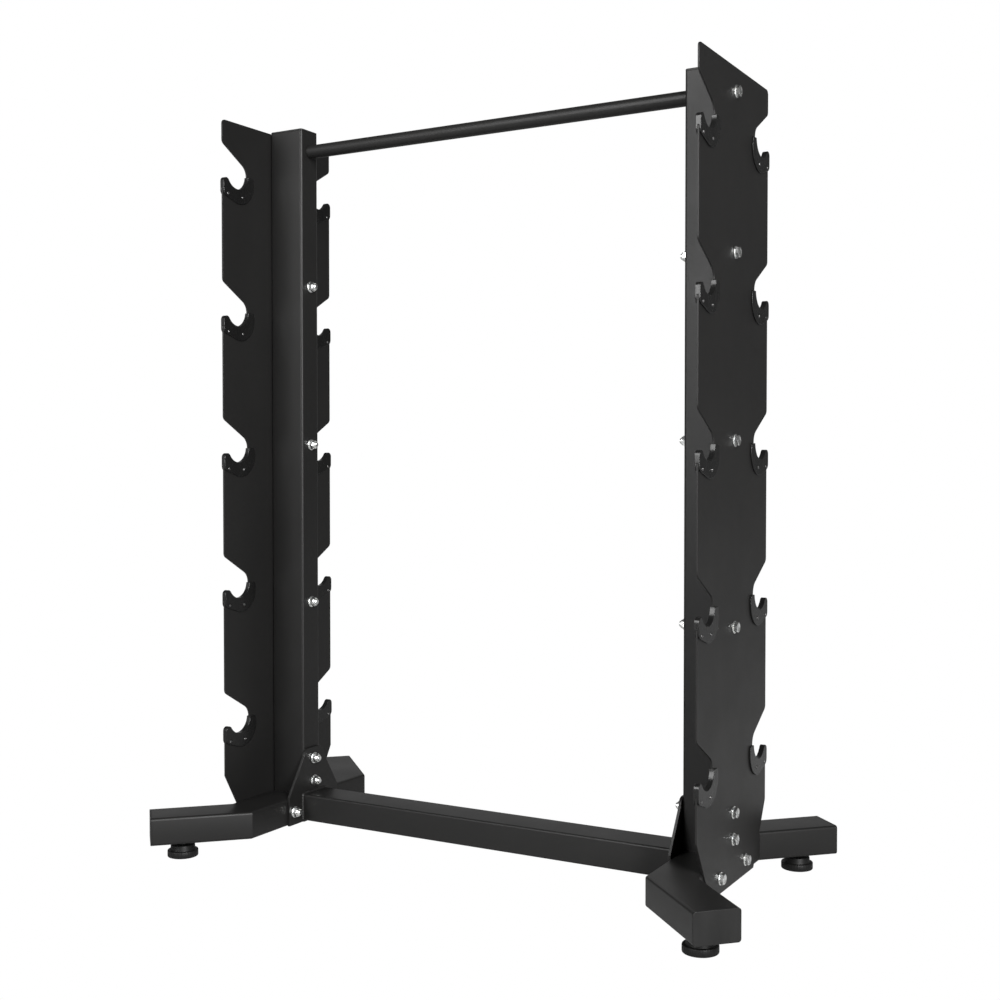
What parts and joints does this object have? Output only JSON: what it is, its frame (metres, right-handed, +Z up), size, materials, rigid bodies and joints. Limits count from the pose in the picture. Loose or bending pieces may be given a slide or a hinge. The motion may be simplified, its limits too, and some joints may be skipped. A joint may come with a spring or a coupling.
{
  "type": "barbell storage rack",
  "caption": "Free-standing two-sided storage rack: notched plates on two uprights carry plastic-lined saddles, on splayed feet with levelling pads.",
  "frame": {"origin": "on the floor, centred under the rack (bottom centre of its bounding box)", "axes": "+X along the rack from the left upright to the right upright, +Y from the front row of saddles to the rear row, +Z up"},
  "size_m": [1.1346, 0.6086, 1.351],
  "materials": {
    "powder_coat": "satin black powder coat with a fine texture",
    "liner_plastic": "glossy moulded black plastic",
    "cap_plastic": "satin black moulded plastic",
    "pad_plastic": "satin black moulded rubbery plastic",
    "zinc": "bright zinc plating",
    "black_steel": "black oxide finish on steel",
    "bare_steel": "plain machined steel"
  },
  "bodies": {
    "rack": {"upright_left": "powder_coat", "upright_right": "powder_coat", "upright_cap_left": "cap_plastic", "upright_cap_right": "cap_plastic", "saddle_plate_left": "powder_coat", "saddle_plate_right": "powder_coat", "saddle_liner_front_left_1": "liner_plastic", "saddle_liner_front_left_2": "liner_plastic", "saddle_liner_front_left_3": "liner_plastic", "saddle_liner_front_left_4": "liner_plastic", "saddle_liner_front_left_5": "liner_plastic", "saddle_liner_front_right_1": "liner_plastic", "saddle_liner_front_right_2": "liner_plastic", "saddle_liner_front_right_3": "liner_plastic", "saddle_liner_front_right_4": "liner_plastic", "saddle_liner_front_right_5": "liner_plastic", "saddle_liner_rear_left_1": "liner_plastic", "saddle_liner_rear_left_2": "liner_plastic", "saddle_liner_rear_left_3": "liner_plastic", "saddle_liner_rear_left_4": "liner_plastic", "saddle_liner_rear_left_5": "liner_plastic", "saddle_liner_rear_right_1": "liner_plastic", "saddle_liner_rear_right_2": "liner_plastic", "saddle_liner_rear_right_3": "liner_plastic", "saddle_liner_rear_right_4": "liner_plastic", "saddle_liner_rear_right_5": "liner_plastic", "liner_screws_front_left": "zinc", "liner_screws_front_right": "zinc", "liner_screws_rear_left": "zinc", "liner_screws_rear_right": "zinc", "foot_left": "powder_coat", "foot_right": "powder_coat", "foot_cap_front_left": "cap_plastic", "foot_cap_front_right": "cap_plastic", "foot_cap_rear_left": "cap_plastic", "foot_cap_rear_right": "cap_plastic", "crossbar": "powder_coat", "crossbar_welds": "powder_coat", "gusset_left": "powder_coat", "gusset_right": "powder_coat", "top_bar": "powder_coat", "top_bar_insert_left": "bare_steel", "top_bar_insert_right": "bare_steel", "frame_bolts": "zinc", "frame_washers": "zinc", "frame_nuts": "zinc", "leveller_nuts": "bare_steel"},
    "leveller_pad_front_left": {"leveller_pad_front_left": "pad_plastic"},
    "leveller_stem_front_left": {"leveller_stem_front_left": "black_steel"},
    "leveller_pad_front_right": {"leveller_pad_front_right": "pad_plastic"},
    "leveller_stem_front_right": {"leveller_stem_front_right": "black_steel"},
    "leveller_pad_rear_left": {"leveller_pad_rear_left": "pad_plastic"},
    "leveller_stem_rear_left": {"leveller_stem_rear_left": "black_steel"},
    "leveller_pad_rear_right": {"leveller_pad_rear_right": "pad_plastic"},
    "leveller_stem_rear_right": {"leveller_stem_rear_right": "black_steel"}
  },
  "joints": [
    {"name": "leveller_height_front_left", "type": "slide", "parent": "rack", "child": "leveller_pad_front_left", "axis": [0, 0, 1], "range_m": [-0.01, 0.0025]},
    {"name": "leveller_turn_front_left", "type": "hinge", "parent": "leveller_pad_front_left", "child": "leveller_stem_front_left", "pos_m": [-0.49978, -0.23675, 0], "axis": [0, 0, 1], "range_deg": [-2424, 624]},
    {"name": "leveller_height_front_right", "type": "slide", "parent": "rack", "child": "leveller_pad_front_right", "axis": [0, 0, 1], "range_m": [-0.01, 0.0025]},
    {"name": "leveller_turn_front_right", "type": "hinge", "parent": "leveller_pad_front_right", "child": "leveller_stem_front_right", "pos_m": [0.49978, -0.23675, 0], "axis": [0, 0, 1], "range_deg": [-2424, 624]},
    {"name": "leveller_height_rear_left", "type": "slide", "parent": "rack", "child": "leveller_pad_rear_left", "axis": [0, 0, 1], "range_m": [-0.01, 0.0025]},
    {"name": "leveller_turn_rear_left", "type": "hinge", "parent": "leveller_pad_rear_left", "child": "leveller_stem_rear_left", "pos_m": [-0.49978, 0.23675, 0], "axis": [0, 0, 1], "range_deg": [-2424, 624]},
    {"name": "leveller_height_rear_right", "type": "slide", "parent": "rack", "child": "leveller_pad_rear_right", "axis": [0, 0, 1], "range_m": [-0.01, 0.0025]},
    {"name": "leveller_turn_rear_right", "type": "hinge", "parent": "leveller_pad_rear_right", "child": "leveller_stem_rear_right", "pos_m": [0.49978, 0.23675, 0], "axis": [0, 0, 1], "range_deg": [-2424, 624]}
  ],
  "couplings": [
    {"joint": "leveller_turn_front_left", "follows": "leveller_height_front_left", "rad_per_m": 4188.8},
    {"joint": "leveller_turn_front_right", "follows": "leveller_height_front_right", "rad_per_m": 4188.8},
    {"joint": "leveller_turn_rear_left", "follows": "leveller_height_rear_left", "rad_per_m": 4188.8},
    {"joint": "leveller_turn_rear_right", "follows": "leveller_height_rear_right", "rad_per_m": 4188.8}
  ]
}
